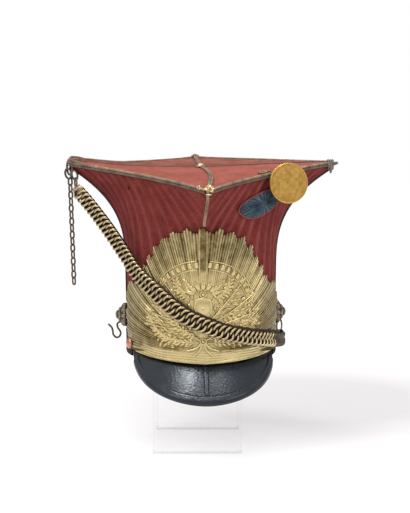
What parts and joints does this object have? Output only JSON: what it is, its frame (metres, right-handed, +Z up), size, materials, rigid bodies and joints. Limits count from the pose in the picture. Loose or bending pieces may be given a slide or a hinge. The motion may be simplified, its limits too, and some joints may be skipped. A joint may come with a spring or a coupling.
{
  "type": "lancer cap on clear acrylic stand",
  "caption": "Square-topped lancer cap with a ribbed cloth crown, brass sunburst plate, leather peak and chain-faced chin strap, carried by a clear loop stand.",
  "frame": {"origin": "on the floor, under the middle of the cap, at the underside of the stand's base", "axes": "+Z up; the cap's front faces -Y and +X is on the viewer's right"},
  "size_m": [0.3025, 0.302, 0.3259],
  "materials": {
    "acrylic": "clear polished acrylic sheet",
    "cloth": "dark crimson felted wool",
    "board_cloth": "faded crimson felted wool",
    "cord": "tarnished gold cord",
    "piping": "dark piping",
    "gilt": "worn gilding",
    "brass": "stamped aged brass",
    "bronze": "darkened brass wire",
    "copper": "copper rivet",
    "leather": "black leather with a soft shine",
    "tan_leather": "worn tan leather",
    "ribbon": "dark pleated ribbon"
  },
  "bodies": {
    "root": {"stand": "acrylic", "crown_front_right": "cloth", "crown_back_right": "cloth", "crown_back_left": "cloth", "crown_front_left": "cloth", "board_top": "board_cloth", "edge_cord_front_right": "cord", "edge_cord_back_right": "cord", "edge_cord_back_left": "cord", "edge_cord_front_left": "cord", "top_cord_front": "cord", "top_cord_back": "cord", "top_seam_left": "piping", "top_seam_right": "piping", "corner_cord_front": "cord", "corner_cord_left": "piping", "corner_cord_right": "piping", "corner_cord_back": "piping", "top_button": "gilt", "front_knot": "gilt", "corner_ring_left": "bronze", "corner_ring_right": "gilt", "front_plate": "brass", "plate_rivet": "copper", "head_band": "leather", "peak": "leather", "peak_binding": "leather", "peak_seam": "leather", "boss_left": "brass", "boss_right": "brass", "side_hook": "bronze", "strap_ring": "bronze", "chin_strap": "leather", "chin_chain": "bronze", "strap_tip": "tan_leather", "strap_links": "bronze", "hanging_chain": "bronze", "cockade": "ribbon", "pompon_disc": "gilt", "disc_stem": "gilt"}
  },
  "joints": []
}
